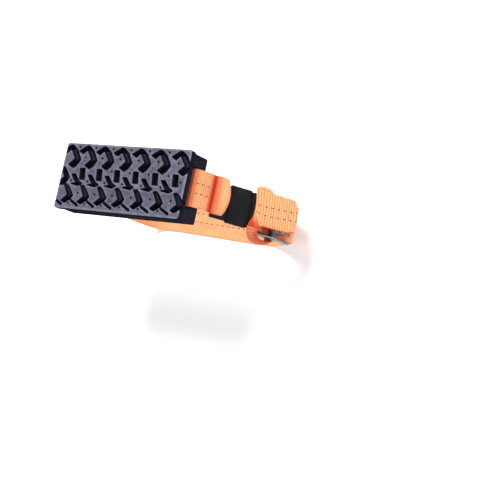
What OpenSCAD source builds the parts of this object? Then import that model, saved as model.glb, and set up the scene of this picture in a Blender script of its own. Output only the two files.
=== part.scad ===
// Strap-on tyre traction block: a rubber block with an off-road tread, held across a tyre
// by a webbing loop that passes through the wheel and closes in a spring-loaded cam buckle.
// Millimetres. The origin is the middle of the face that bears on the tyre, +Z is out of the
// tread, +X runs along the block towards the buckle and +Y runs across the webbing.

/* [Block] */
// Length of the block, across the tyre
block_l = 204; // [190:1:215]
// Width of the block, around the tyre
block_w = 88; // [84:1:100]
// Height of the block, from its tyre face to its tread face
block_h = 38; // [36:1:44]
// Depth of the tread cap, the upper part of the block that stands proud
cap_h = 10; // [9:0.5:12]
// How far the tread cap stands proud of the base all round
cap_lip = 1.5; // [0.5:0.5:2]
// Depth of the tread grooves
groove_depth = 8; // [5:0.5:9]
// Tilt of every chevron row's thin slits, in degrees below +X
slit_tilt = 27; // [20:1:35]

/* [Tread pitch] */
// Place along X of the first chevron's point
first_point = -73.5; // [-76:0.5:-70]
// Distance from the first chevron's point to the second's
first_pitch = 27.8; // [26:0.1:29]
// How much each pitch is longer than the one before it
pitch_growth = 0.84; // [0:0.02:1]

/* [Webbing] */
// Width of the orange webbing
web_w = 48; // [44:1:50]
// Thickness of the webbing
web_t = 2; // [1.6:0.1:2]
// Height of the webbing's middle above the tyre face, where it runs through the block
tunnel_z = 23; // [22:0.5:24]
// Clear height of the tunnel through the block
tunnel_h = 5; // [4:0.5:5]
// Clear width of the tunnel through the block
tunnel_w = 51; // [51:0.5:56]
// How far below the tyre face the webbing passes through the wheel
loop_depth = 160; // [155:1:170]

/* [Sleeve] */
// Length of the black wear sleeve
sleeve_l = 28; // [20:1:28]
// Wall thickness of the wear sleeve
sleeve_wall = 1; // [0.8:0.1:1]

/* [Buckle] */
// Clear width between the side ears of the buckle
buckle_inner = 51; // [51:0.5:54]
// Thickness of the buckle's steel plate
plate_t = 2; // [1.5:0.1:2]
// Radius of the anchor bar and of the cam pin
pin_r = 3; // [2.8:0.1:3]
// Radial running clearance of the cam on its pin
cam_clearance = 0.05; // [0.02:0.01:0.1]
// Width of the toothed cam
cam_w = 38; // [36:1:38]

/* [Hidden] */
$fn = 48;
cut = 0.5;

// The chevrons: how many, and where each one's point lies along X.
chevrons = 7;
function point_x(k) = first_point + (first_pitch - pitch_growth / 2) * k + pitch_growth / 2 * k * k;
upper_row_y = 22;
lower_row_y = -26;
pin_hole_r = 1.2;
pin_hole_depth = 3;

// How far the webbing has drifted sideways, at the black webbing, the tail and the buckle.
black_y = -3.9;
tail_y = -5;
buckle_y = -6;

// The run is the straight part of the loop from the hem's crease to the end of the buckle.
// Its own frame has s along the run, y as the block's and h away from the tyre.
crease = [111, -11];
run_angle = 60;
black_h = -4.1;
black_inner_h = -6.3;
hem_under_h = -2.05;
drift_from = -50;
drift_to = 85;
sleeve_start = 25.5;
sleeve_gap = 0.6;
bar_s = 66;
bar_h = -4.2;
base_bottom = -9;
base_start = 72;
base_end = 122;
cam_s = 92;
cam_h = 1.5;
cam_r = 6.2;
strap_h = base_bottom + plate_t + web_t / 2;
tail_start = 86;
panel_h = 9;
panel_end = 116.5;
tuck_h = 6.3;
head_t = 1.2;
stop_s = 82.5;
stop_h = -3.6;
ear_top = 7.2;

// Torsion springs: wire, its straight legs, coil and how many turns lie side by side.
wire_r = 0.6;
leg_r = 0.5;
coil_r = 4.4;
coil_pitch = 1.05;
coils = 5;

// Stitches: width and length of the thread on the face, and how proud of it they stand.
stitch_w = 0.5;
stitch_l = 3;
stitch_h = 0.25;

// --- Plane geometry -------------------------------------------------------------------------

function unit(v) = v / norm(v);
function left_of(v) = [-v[1], v[0]];
function cross_z(a, b) = a[0] * b[1] - a[1] * b[0];

// Points of an arc about a centre.
function arc(centre, r, from, sweep, steps) =
  [for (i = [0:steps]) centre + r * [cos(from + sweep * i / steps), sin(from + sweep * i / steps)]];

// The arc that rounds the corner at b, between the legs from a and to c.
function fillet(a, b, c, r) =
  let (
    to_a = unit(a - b),
    to_c = unit(c - b),
    half = acos(to_a * to_c) / 2,
    centre = b + unit(to_a + to_c) * r / sin(half),
    first = b + to_a * r / tan(half) - centre,
    sweep = (180 - 2 * half) * (cross_z(to_a, to_c) > 0 ? -1 : 1)
  ) arc(centre, r, atan2(first[1], first[0]), sweep, 8);

// A route of [x, z, corner radius] points with its corners rounded.
function rounded(route) = [
  for (i = [0:len(route) - 1])
    let (p = [route[i][0], route[i][1]])
    each (i == 0 || i == len(route) - 1 || route[i][2] == 0) ? [p] :
      fillet([route[i - 1][0], route[i - 1][1]], p, [route[i + 1][0], route[i + 1][1]], route[i][2])
];

// The side of a band at a distance d to the left of its route.
function side(route, d) = [
  for (i = [0:len(route) - 1])
    let (
      before = unit(route[max(i, 1)] - route[max(i, 1) - 1]),
      after = unit(route[min(i + 1, len(route) - 1)] - route[min(i, len(route) - 2)]),
      across = unit(left_of(before) + left_of(after))
    ) route[i] + across * d / (across * left_of(before))
];

function reversed(list) = [for (i = [len(list) - 1:-1:0]) list[i]];

// The outline of a band of thickness t along a route.
function band(route, t) = concat(side(route, t / 2), reversed(side(route, -t / 2)));

// A point of the run's own frame, [s, h], as [x, z] of the block's frame.
function on_run(p) = crease + p[0] * [cos(run_angle), -sin(run_angle)]
  + p[1] * [sin(run_angle), cos(run_angle)];

function route_on_run(route) = [for (p = route) concat(on_run(p), p[2])];

// Extrudes an XZ outline across the webbing, centred on Y.
module across(width) {
  rotate([90, 0, 0]) linear_extrude(height = width, center = true) children();
}

// Places children given in the run's own frame, y away from the block's middle.
module in_run(y) {
  translate([crease[0], y, crease[1]]) rotate([0, run_angle, 0]) children();
}

// A rod across the webbing at [s, h] of the run.
module rod(s, h, r, length) {
  translate([s, 0, h]) rotate([90, 0, 0]) cylinder(r = r, h = length, center = true);
}

// --- Traction block -------------------------------------------------------------------------

// A hooked chevron of the upper row, measured from its point.
module hooked_chevron() {
  polygon([
    [0, 0], [-4.6, -7.6], [-10.3, -11.5], [-19.2, -7.2], [-10.2, 1.2], [-19.6, 13.6],
    [-25.6, 7.9], [-33, 11.6], [-21, 19.2], [-16.7, 18.4], [-8.5, 12.4]
  ]);
}

// A plain chevron of the lower row, measured from its point.
module plain_chevron() {
  polygon([
    [0, 0], [-3.6, -5.2], [-12, -10.6], [-18.8, -8], [-10, 0], [-18.6, 13.4], [-13.4, 14.2], [-7.9, 9.8]
  ]);
}

// The slanted block groove between the rows, measured from the chevron's point.
module slanted_groove() {
  polygon([[-25.8, -10.2], [-16.6, -10.2], [-13.6, -25.2], [-23.4, -25.2]]);
}

// The boot-shaped groove below it.
module boot_groove() {
  polygon([
    [-10, -19.4], [-3.6, -19.4], [4, -27.8], [10.8, -31.6], [5.4, -34.6],
    [-8.1, -32.5], [0.4, -31], [-4.6, -26.4]
  ]);
}

// The thin slit that runs down to the lower edge from each lower chevron.
module thin_slit() {
  translate([4.6, -9.8]) rotate(-slit_tilt) square([17, 2.6], center = true);
}

// The half chevron at the block's left end.
module end_chevron() {
  polygon([
    [-104, 12], [-97.5, 11], [-90, 3], [-86, -3], [-92, -12.4], [-104, -13.2],
    [-104, -10], [-95, -2], [-104, 10]
  ]);
}

module groove_outlines() {
  for (k = [0:chevrons - 1]) {
    translate([point_x(k), upper_row_y]) hooked_chevron();
    translate([point_x(k), lower_row_y]) plain_chevron();
  }
  for (k = [1:chevrons - 1]) translate([point_x(k), upper_row_y - 0.8]) slanted_groove();
  for (k = [0:chevrons - 2]) {
    translate([point_x(k), upper_row_y]) boot_groove();
    translate([point_x(k), lower_row_y]) thin_slit();
  }
  translate([point_x(0) - first_pitch, lower_row_y]) thin_slit();
  end_chevron();
}

// Small blind pin holes in the lugs and the margins.
module pin_holes() {
  for (k = [0:chevrons - 2]) {
    for (p = [[-5.7, 38.7], [-5.7, -36.2], [-8.4, -6.5]]) translate([point_x(k) + p[0], p[1]]) pin_hole();
    for (p = [[-20.4, 25.6], [-20.6, -22.5]]) translate([point_x(k + 1) + p[0], p[1]]) pin_hole();
  }
  for (k = [2:chevrons - 2]) translate([point_x(k), 8.6]) pin_hole();
}

module pin_hole() {
  circle(r = pin_hole_r, $fn = 8);
}

module slab(l, w, bottom, top) {
  translate([-l / 2, -w / 2, bottom]) cube([l, w, top - bottom]);
}

module traction_block() {
  color("#3a3b45") difference() {
    union() {
      slab(block_l - 2 * cap_lip, block_w - 2 * cap_lip, 0, block_h - cap_h + cut);
      slab(block_l, block_w, block_h - cap_h, block_h);
    }
    translate([0, 0, block_h - groove_depth]) linear_extrude(height = groove_depth + cut) groove_outlines();
    translate([0, 0, block_h - pin_hole_depth]) linear_extrude(height = pin_hole_depth + cut) pin_holes();
    slab(block_l + 2 * cut, tunnel_w, tunnel_z - web_t / 2, tunnel_z - web_t / 2 + tunnel_h);
  }
}

// --- Webbing --------------------------------------------------------------------------------

// The orange webbing from its folded hem, over the tyre's shoulder, through the block, down the
// inner side of the tyre, back through the wheel and into the buckle as far as the cam. The
// buckle sits askew on the tyre, so the straight length inside the wheel drifts sideways to it.
module long_strap() {
  hem = route_on_run([
    [1, hem_under_h, 0], [21.4, hem_under_h, 2.4], [21.4, 4.6, 2.6], [9.5, 4.9, 6], [1.5, 0, 4]
  ]);
  inner_side = [
    [103.7, tunnel_z, 3], [-105.5, tunnel_z, 4], [-92, -62, 60],
    [-84, -loop_depth, 24], [drift_from, -loop_depth, 0]
  ];
  outer_side = [[drift_to, -loop_depth, 0], [118, -loop_depth, 20]];
  into_buckle = route_on_run([[129, strap_h, 9], [tail_start, strap_h, 0]]);
  color("#f58a4b") {
    across(web_w) polygon(band(rounded(concat(hem, inner_side)), web_t));
    translate([0, 0, -loop_depth - web_t / 2]) linear_extrude(height = web_t) polygon([
      [drift_from, web_w / 2], [drift_from, -web_w / 2],
      [drift_to, buckle_y - web_w / 2], [drift_to, buckle_y + web_w / 2]
    ]);
    translate([0, buckle_y, 0]) across(web_w) polygon(band(rounded(concat(outer_side, into_buckle)), web_t));
  }
}

// The free end of the same webbing: out over the anchor bar, folded back over the buckle as a
// flat panel, and tucked under itself.
module strap_tail() {
  tail = route_on_run([
    [tail_start, strap_h, 0], [80, strap_h, 3], [73, 2.2, 3], [57.5, 2.2, 3.3],
    [57.5, panel_h, 3.3], [panel_end, panel_h, 1.3], [panel_end, tuck_h, 1.3], [100, tuck_h, 0]
  ]);
  color("#f7934f") translate([0, tail_y, 0]) across(web_w) polygon(band(rounded(tail), web_t));
}

// The black webbing that ties the buckle to the hem: sewn under the hem, round the anchor bar
// and back on itself.
module buckle_strap() {
  there = [[2, black_h], [57, black_h]];
  round_bar = arc([bar_s, bar_h], pin_r + 0.1 + web_t / 2, 110, -220, 16);
  back = [[57, black_inner_h], [30, black_inner_h]];
  color("#1d1d22") in_run(black_y) across(web_w - 2) polygon(band(concat(there, round_bar, back), web_t));
}

// The flat tubular sleeve that slides on the black webbing.
module wear_sleeve() {
  inner_w = web_w - 2 + 2 * sleeve_gap;
  inner_top = black_h + web_t / 2 + sleeve_gap;
  inner_bottom = black_inner_h - web_t / 2 - sleeve_gap;
  color("#17171b") in_run(black_y) translate([sleeve_start, 0, 0]) difference() {
    flat_tube(inner_w + 2 * sleeve_wall, inner_bottom - sleeve_wall, inner_top + sleeve_wall, 0);
    flat_tube(inner_w, inner_bottom, inner_top, cut);
  }
}

module flat_tube(width, bottom, top, extra) {
  translate([-extra, -width / 2, bottom]) cube([sleeve_l + 2 * extra, width, top - bottom]);
}

// --- Sewing ---------------------------------------------------------------------------------

// A row of stitches across the webbing at s along the run, under the band whose middle is at h.
module stitch_row(s, h, width) {
  for (y = [-width / 2 + stitch_l:2 * stitch_l:width / 2 - stitch_l])
    translate([s - stitch_w / 2, y - stitch_l / 2, h - web_t / 2 - stitch_h])
      cube([stitch_w, stitch_l, stitch_h]);
}

// The two seams that join the hem to the black webbing, on the side that faces the tyre.
module hem_stitches() {
  color("#c9501e") in_run(black_y) for (s = [6, 10]) stitch_row(s, black_h, web_w - 8);
}

// The seams that close the black loop round the anchor bar, under the sleeve.
module loop_stitches() {
  color("#2b2b30") in_run(black_y) for (s = [33, 36]) stitch_row(s, black_inner_h, web_w - 8);
}

// The two seams across the end of the tail.
module tail_stitches() {
  color("#d8612a") in_run(tail_y) for (s = [102, 104.5]) stitch_row(s, tuck_h, web_w - 4);
}

// --- Buckle ---------------------------------------------------------------------------------

module ear_outline() {
  hull() {
    translate([bar_s, bar_h]) circle(r = 5.2, $fn = 32);
    translate([cam_s, cam_h]) circle(r = ear_top - cam_h, $fn = 32);
    translate([base_end - 8, base_bottom + 3]) circle(r = 3, $fn = 32);
    translate([bar_s + 6, base_bottom]) square([base_end - bar_s - 14, 4]);
  }
}

// The pressed steel frame: a base plate and two ears that carry the bar and the pin, with a
// stop inside each ear for the end of a spring.
module buckle_frame() {
  color("#a9abb0") in_run(buckle_y) difference() {
    union() {
      translate([base_start, -buckle_inner / 2 - plate_t, base_bottom])
        cube([base_end - base_start - 1, buckle_inner + 2 * plate_t, plate_t]);
      rod(base_end - 1, base_bottom + plate_t / 2, plate_t / 2, buckle_inner + 2 * plate_t);
      for (y = [-1, 1]) translate([0, y * (buckle_inner + plate_t) / 2, 0]) across(plate_t) ear_outline();
      for (y = [-1, 1]) translate([0, y * (buckle_inner - 2) / 2, 0]) rod(stop_s, stop_h, 1, 3);
    }
    rod(bar_s, bar_h, pin_r, 2 * buckle_inner);
    rod(cam_s, cam_h, pin_r, 2 * buckle_inner);
  }
}

// A round pin through both ears with a formed head at each end.
module headed_pin(s, h) {
  head_y = buckle_inner / 2 + plate_t + head_t / 2;
  rod(s, h, pin_r, buckle_inner + 2 * plate_t);
  for (y = [-head_y, head_y]) translate([0, y, 0]) rod(s, h, pin_r + 1, head_t);
}

module anchor_bar() {
  color("#b9bbc0") in_run(buckle_y) headed_pin(bar_s, bar_h);
}

module cam_pin() {
  color("#c3c5ca") in_run(buckle_y) headed_pin(cam_s, cam_h);
}

// The toothed cam with its thumb lever.
module cam_lever() {
  color("#8f9299") in_run(buckle_y) difference() {
    union() {
      rod(cam_s, cam_h, cam_r - 1, cam_w);
      for (a = [-120:15:-75]) cam_tooth(a);
      across(cam_w) polygon([
        [cam_s + 1, cam_h + 4.6], [cam_s + 4, cam_h + 2.9], [109, 4.4], [114.5, 4.9], [115.2, 3.6],
        [109.5, 2.5], [cam_s + 6, 0.4], [cam_s + 4, cam_h - 3]
      ]);
    }
    rod(cam_s, cam_h, pin_r + cam_clearance, cam_w + 2);
  }
}

module cam_tooth(a) {
  translate([cam_s, 0, cam_h]) rotate([0, -a, 0]) across(cam_w)
    polygon([[cam_r - 2, -1.2], [cam_r, 0], [cam_r - 2, 1.2]]);
}

// A torsion spring round the cam pin: a close coil, shown by its grooved outline, with one leg
// under the thumb lever and one on the frame's stop. Both legs leave the coil square to it.
module torsion_spring() {
  first_coil = cam_w / 2 + 0.9;
  last_coil = first_coil + (coils - 1) * coil_pitch;
  translate([cam_s, last_coil, cam_h]) rotate([90, 0, 0])
    rotate_extrude() for (i = [0:coils - 1]) translate([coil_r, i * coil_pitch])
      polygon([for (a = [22.5:45:337.5]) wire_r * [cos(a), sin(a)]]);
  spring_leg([106, 1.3], first_coil);
  translate([106, first_coil + 1, 1.3]) rotate([90, 0, 0]) cylinder(r = wire_r, h = 7);
  spring_leg([stop_s - 0.8, stop_h + 1.75], last_coil);
}

// A straight wire from the coil out to an [s, h] point, at one place across the webbing.
module spring_leg(end, y) {
  reach = end - [cam_s, cam_h];
  translate([cam_s, y, cam_h]) rotate([0, 90 - atan2(reach[1], reach[0]), 0])
    translate([0, 0, coil_r]) cylinder(r = leg_r, h = norm(reach) - coil_r);
}

module cam_spring_upper() {
  color("#70737a") in_run(buckle_y) torsion_spring();
}

module cam_spring_lower() {
  color("#70737a") in_run(buckle_y) mirror([0, 1, 0]) torsion_spring();
}

traction_block();
long_strap();
strap_tail();
buckle_strap();
wear_sleeve();
hem_stitches();
loop_stitches();
tail_stitches();
buckle_frame();
anchor_bar();
cam_pin();
cam_lever();
cam_spring_upper();
cam_spring_lower();
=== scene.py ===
"""Looks of the strap-on tyre traction block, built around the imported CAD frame."""
import math

import bmesh
import bpy
import numpy as np
from mathutils import Matrix, Vector
from mathutils.geometry import delaunay_2d_cdt


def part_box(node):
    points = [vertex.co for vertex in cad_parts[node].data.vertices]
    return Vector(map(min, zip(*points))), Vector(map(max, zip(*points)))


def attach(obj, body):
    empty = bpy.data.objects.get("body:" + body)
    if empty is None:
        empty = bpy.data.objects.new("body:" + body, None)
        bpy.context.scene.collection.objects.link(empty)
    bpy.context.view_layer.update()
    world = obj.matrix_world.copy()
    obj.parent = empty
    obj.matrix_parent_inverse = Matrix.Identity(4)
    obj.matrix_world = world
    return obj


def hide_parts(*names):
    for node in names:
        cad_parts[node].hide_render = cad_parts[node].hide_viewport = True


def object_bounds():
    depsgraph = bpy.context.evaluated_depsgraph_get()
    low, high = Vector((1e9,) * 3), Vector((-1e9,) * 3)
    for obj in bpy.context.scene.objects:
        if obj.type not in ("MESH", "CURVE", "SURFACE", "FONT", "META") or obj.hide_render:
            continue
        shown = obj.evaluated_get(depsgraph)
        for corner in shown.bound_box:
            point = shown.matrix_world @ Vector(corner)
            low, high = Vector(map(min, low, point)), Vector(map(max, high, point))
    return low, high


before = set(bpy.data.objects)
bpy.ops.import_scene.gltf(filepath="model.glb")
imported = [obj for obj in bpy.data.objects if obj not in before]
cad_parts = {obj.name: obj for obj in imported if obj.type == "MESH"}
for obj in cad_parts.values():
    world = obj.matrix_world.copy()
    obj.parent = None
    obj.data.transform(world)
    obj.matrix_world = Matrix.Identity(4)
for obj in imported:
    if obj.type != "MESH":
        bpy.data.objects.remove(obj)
cad_lo, cad_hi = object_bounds()

MM = 0.001

# --- The frames that part.scad lays the part out in, in millimetres ---

CREASE = np.array([111.0, 0.0, -11.0])
RUN_ANGLE = math.radians(60)
ALONG_RUN = np.array([math.cos(RUN_ANGLE), 0.0, -math.sin(RUN_ANGLE)])
OUT_OF_RUN = np.array([math.sin(RUN_ANGLE), 0.0, math.cos(RUN_ANGLE)])

block_lo, block_hi = (np.array(corner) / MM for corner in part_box("traction_block"))
BLOCK_L, BLOCK_W, BLOCK_H = block_hi - block_lo
CAP_H, CAP_LIP = 10.0, 1.5
TUNNEL_Z, TUNNEL_H, TUNNEL_W = 24.5, 5.0, 51.0
WEB_W, WEB_T, BLACK_W = 48.0, 2.0, 46.0
RIB_PITCH = 3.7
BLACK_Y, BUCKLE_Y = -3.9, -6.0  # how far the black webbing and the buckle sit off the middle


def from_run(points):
    """Row-frame points in millimetres from (s along the run, y, h away from the tyre)."""
    p = np.asarray(points, float)
    world = CREASE + p[..., 0:1] * ALONG_RUN + p[..., 2:3] * OUT_OF_RUN
    world[..., 1] = p[..., 1]
    return world


def to_run(points):
    """The opposite of from_run."""
    p = np.asarray(points, float) - CREASE
    return np.stack([p @ ALONG_RUN, p[..., 1], p @ OUT_OF_RUN], axis=-1)


def unit(vectors):
    return vectors / np.linalg.norm(vectors, axis=-1, keepdims=True)


def heading(angle):
    """The unit vector at an angle in a plane."""
    return np.array([math.cos(angle), math.sin(angle)])


def smooth(a, b, x):
    """0 before a, 1 after b, and smooth between them."""
    t = np.clip((x - a) / (b - a), 0, 1)
    return t * t * (3 - 2 * t)


# --- Objects ---


def band(a, b, around):
    """Faces between two rings of around vertices each, which start at a and at b."""
    return [(a + k, a + (k + 1) % around, b + (k + 1) % around, b + k) for k in range(around)]


def tube_faces(start, rings, around):
    """The bands between rings of around vertices each, with both ends closed."""
    last = start + (rings - 1) * around
    faces = [face for a in range(start, last, around) for face in band(a, a + around, around)]
    return faces + [tuple(range(start, start + around)), tuple(range(last, last + around))]


def new_object(name, points, faces, uv=None, attributes=None):
    """A mesh object from row-frame points in millimetres; uv is per point, in metres."""
    mesh = bpy.data.meshes.new(name)
    mesh.from_pydata((np.asarray(points) * MM).tolist(), [], faces)
    if uv is not None:
        per_corner = np.asarray(uv, np.float32)[np.concatenate(faces)]
        mesh.uv_layers.new(name="UVMap").data.foreach_set("uv", per_corner.ravel())
    for key, values in (attributes or {}).items():
        data = mesh.attributes.new(key, "FLOAT", "POINT")
        data.data.foreach_set("value", np.asarray(values, np.float32).ravel())
    mesh.validate()
    obj = bpy.data.objects.new(name, mesh)
    bpy.context.scene.collection.objects.link(obj)
    return obj


def outward(obj):
    """Faces that look out of their closed shell."""
    bm = bmesh.new()
    bm.from_mesh(obj.data)
    bmesh.ops.recalc_face_normals(bm, faces=bm.faces)
    bm.to_mesh(obj.data)
    bm.free()


def dress(obj, body, material, stands_for=(), sharp_deg=45):
    """Material, shading, the body it rides on and the CAD nodes it stands for."""
    obj.data.materials.clear()  # a cut leaves an empty slot
    obj.data.materials.append(material)
    outward(obj)
    obj.data.shade_smooth()
    obj.data.set_sharp_from_angle(angle=math.radians(sharp_deg))
    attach(obj, body)
    if stands_for:
        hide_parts(*stands_for)


# --- Materials ---


class Shader:
    """A material and a short way to add its nodes."""

    def __init__(self, name, **sockets):
        self.material = bpy.data.materials.new(name)
        self.material.use_nodes = True
        self.tree = self.material.node_tree
        self.bsdf = self.tree.nodes["Principled BSDF"]
        self.set(**sockets)

    def add(self, kind, inputs=None, **settings):
        node = self.tree.nodes.new("ShaderNode" + kind)
        for key, value in settings.items():
            setattr(node, key, value)
        for key, value in (inputs or {}).items():
            self.put(node.inputs[key], value)
        return node

    def put(self, socket, value):
        if isinstance(value, bpy.types.NodeSocket):
            self.tree.links.new(value, socket)
        else:
            socket.default_value = value

    def math(self, operation, a, b=0.0):
        return self.add("Math", {0: a, 1: b}, operation=operation).outputs[0]

    def times(self, a, b):
        return self.math("MULTIPLY", a, b)

    def wave(self, value, turn):
        return self.math("SINE", self.times(value, turn))

    def span(self, value, low, high, to_low=0.0, to_high=1.0):
        spread = {0: value, 1: low, 2: high, 3: to_low, 4: to_high}
        return self.add("MapRange", spread).outputs[0]

    def mix(self, share, a, b):
        return self.add("Mix", {0: share, 6: a, 7: b}, data_type="RGBA").outputs[2]

    def parts(self, vector):
        return self.add("SeparateXYZ", {0: vector}).outputs

    def uv(self):
        return self.parts(self.add("UVMap", uv_map="UVMap").outputs[0])

    def shaded(self, colour, value):
        return self.add("HueSaturation", {"Color": colour, "Value": value}).outputs[0]

    def noise(self, scale, detail=3.0, where=None, rough=0.55):
        node = self.add("TexNoise", {"Scale": scale, "Detail": detail, "Roughness": rough})
        if where is None:
            where = self.place()
        self.put(node.inputs["Vector"], where)
        return node.outputs["Fac"]

    def place(self):
        return self.add("TexCoord").outputs["Object"]

    def mark(self, name):
        return self.add("Attribute", attribute_name=name).outputs["Fac"]

    def bump(self, height, strength, distance, under=None):
        node = self.add("Bump", {"Strength": strength, "Distance": distance, "Height": height})
        if under is not None:
            self.put(node.inputs["Normal"], under)
        return node.outputs[0]

    def set(self, **sockets):
        for key, value in sockets.items():
            self.put(self.bsdf.inputs[key.replace("_", " ")], value)
        return self.material


def rgb(r, g, b):
    """A linear colour from sRGB numbers out of 255."""
    values = []
    for c in (r / 255, g / 255, b / 255):
        values.append(c / 12.92 if c <= 0.04045 else ((c + 0.055) / 1.055) ** 2.4)
    return (*values, 1.0)


LIT_FROM = (0.0362, 0.0379)  # heights between which the painted shade of the grooves gives way to the tread face's colours, in metres
YARN, TWILL = 0.0009, 0.0011  # spacing of the webbing's yarns and of the cloth's ribs, in metres
WEAVE_DEPTH = 0.00022


def rubber_material(name, shine):
    """Moulded rubber: dusty on the tread face with painted edge highlights, painted shade near black in
    the grooves, near black on the sides.
    """
    m = Shader(name, Specular_IOR_Level=shine)
    height = m.parts(m.place())[2]
    rim_wear_and_highlight = m.mark("rim_wear_and_highlight")
    cloud = m.noise(28.0, 4.0)
    grain = m.noise(420.0, 5.0)
    speck = m.noise(1500.0, 2.0)
    facing = m.parts(m.add("NewGeometry").outputs["Normal"])[2]
    base = m.mix(m.span(cloud, 0.35, 0.7), rgb(44, 43, 58), rgb(68, 66, 84))
    base = m.mix(m.span(grain, 0.45, 0.75, 0.0, 0.5), base, rgb(90, 87, 108))
    mottle = m.noise(150.0, 3.0, rough=0.7)
    base = m.mix(m.span(mottle, 0.5, 0.72, 0.0, 0.5), base, rgb(96, 93, 114))
    base = m.mix(m.span(mottle, 0.5, 0.3, 0.0, 0.4), base, rgb(34, 33, 44))
    # dust and wear at the groove rims, and a painted highlight along the tread face's outer edge
    dust_and_highlight = m.times(rim_wear_and_highlight, m.span(m.noise(190.0, 4.0), 0.3, 0.65, 0.1, 0.6))
    base = m.mix(dust_and_highlight, base, rgb(118, 116, 134))
    # painted shade: low in the grooves and on faces that don't look up, the tread goes near black
    lit = m.times(m.span(height, *LIT_FROM), m.span(facing, 0.25, 0.85))
    base = m.mix(lit, rgb(21, 20, 31), base)
    # painted highlight along the edges of the ledges in the chevrons
    step = m.mark("step")
    base = m.mix(m.times(step, 0.3), base, rgb(72, 70, 88))
    rough = m.span(grain, 0.3, 0.7, 0.42, 0.62)
    normal = m.bump(speck, 0.25, 0.0002)
    normal = m.bump(grain, 0.35, 0.0006, normal)
    normal = m.bump(cloud, 0.25, 0.002, normal)
    side = m.mark("side")
    skin = m.mix(m.span(cloud, 0.35, 0.7), rgb(22, 22, 28), rgb(36, 36, 44))
    skin = m.mix(m.span(grain, 0.5, 0.75, 0.0, 0.4), skin, rgb(58, 57, 68))
    base = m.mix(side, base, skin)
    return m.set(Base_Color=base, Roughness=rough, Normal=normal)


def webbing_material(name, rib, gap, painted_shade, sheen):
    """Woven webbing: UV x runs along it and UV y across it, both in metres."""
    m = Shader(name, Sheen_Weight=sheen, Specular_IOR_Level=0.2, Sheen_Roughness=0.45)
    along, across = m.uv()[:2]
    on_rib = m.span(m.wave(along, 2 * math.pi / (RIB_PITCH * MM)), -0.98, -0.2)
    yarn = 2 * math.pi / YARN
    weave = m.times(m.wave(along, yarn * 0.9), m.wave(across, yarn))
    fuzz = m.noise(900.0, 4.0)
    patch = m.noise(60.0, 3.0)
    calm = m.mark("calm")
    fold = m.mark("fold")
    # the rib colour carries a painted highlight on the rib tops, the gap colour painted shade between
    # the ribs
    colour = m.mix(m.math("MAXIMUM", on_rib, calm), gap, rib)
    # fold mixes in the colour of painted shade
    colour = m.mix(fold, colour, painted_shade)
    shade = m.span(weave, -1.0, 1.0, 0.80, 1.08)
    shade = m.times(shade, m.span(patch, 0.3, 0.7, 0.92, 1.06))
    shade = m.times(shade, m.span(fuzz, 0.3, 0.7, 0.90, 1.08))
    colour = m.shaded(colour, shade)
    height = m.math("ADD", weave, m.times(fuzz, 0.8))
    normal = m.bump(height, 0.6, WEAVE_DEPTH)
    rough = m.span(fuzz, 0.3, 0.7, 0.62, 0.85)
    return m.set(Base_Color=colour, Roughness=rough, Normal=normal)


def cloth_material(name, dark, light):
    """Tight black cloth with a fine twill, worn lighter in patches."""
    tint = rgb(120, 120, 140)
    m = Shader(name, Sheen_Weight=0.1, Specular_IOR_Level=0.2, Sheen_Roughness=0.5, Sheen_Tint=tint)
    along, across = m.uv()[:2]
    turn = 2 * math.pi / TWILL
    twill = m.wave(m.math("ADD", along, across), turn)
    weave = m.math("ADD", twill, m.times(m.wave(across, turn * 1.7), 0.5))
    fuzz = m.noise(700.0, 4.0)
    worn = m.noise(45.0, 3.0)
    colour = m.mix(m.span(worn, 0.35, 0.7), dark, light)
    shade = m.span(weave, -1.5, 1.5, 0.75, 1.15)
    shade = m.times(shade, m.span(fuzz, 0.3, 0.7, 0.8, 1.2))
    colour = m.shaded(colour, shade)
    normal = m.bump(m.math("ADD", weave, fuzz), 0.5, 0.00025)
    return m.set(Base_Color=colour, Roughness=m.span(fuzz, 0.3, 0.7, 0.7, 0.9), Normal=normal)


def metal_material(name, bright, dull, rough_low, rough_high, scratch=0.25):
    """Bare metal with a cloudy finish and fine scratches that run across Y."""
    m = Shader(name, Metallic=1.0)
    cloud = m.noise(130.0, 5.0)
    fine = m.noise(1300.0, 3.0)
    stretch = m.add("Mapping", {"Vector": m.place(), "Scale": (120.0, 2400.0, 120.0)})
    lines = m.noise(1.0, 2.0, stretch.outputs[0])
    colour = m.mix(m.span(cloud, 0.35, 0.68), dull, bright)
    rough = m.span(cloud, 0.3, 0.7, rough_low, rough_high)
    rough = m.math("ADD", rough, m.span(lines, 0.4, 0.7, 0.0, 0.12))
    normal = m.bump(lines, scratch, 0.00005)
    normal = m.bump(fine, 0.15, 0.0001, normal)
    return m.set(Base_Color=colour, Roughness=rough, Normal=normal)


def thread_material(name, dark, light):
    """Thread with fine fibres, between two shades."""
    m = Shader(name, Sheen_Weight=0.3)
    fibre = m.noise(2600.0, 3.0)
    colour = m.mix(m.span(fibre, 0.35, 0.65), dark, light)
    normal = m.bump(fibre, 0.5, 0.0001)
    return m.set(Base_Color=colour, Roughness=0.75, Normal=normal)


TREAD_RUBBER = rubber_material("tread_rubber", 0.42)
BODY_RUBBER = rubber_material("body_rubber", 0.0)
# orange with a painted highlight on the ribs, painted shade in the gaps, and the deep red of painted
# shade
ORANGE = webbing_material(
    "woven_orange", rgb(240, 176, 123), rgb(211, 114, 62), rgb(190, 36, 0), 0.08
)
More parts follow.
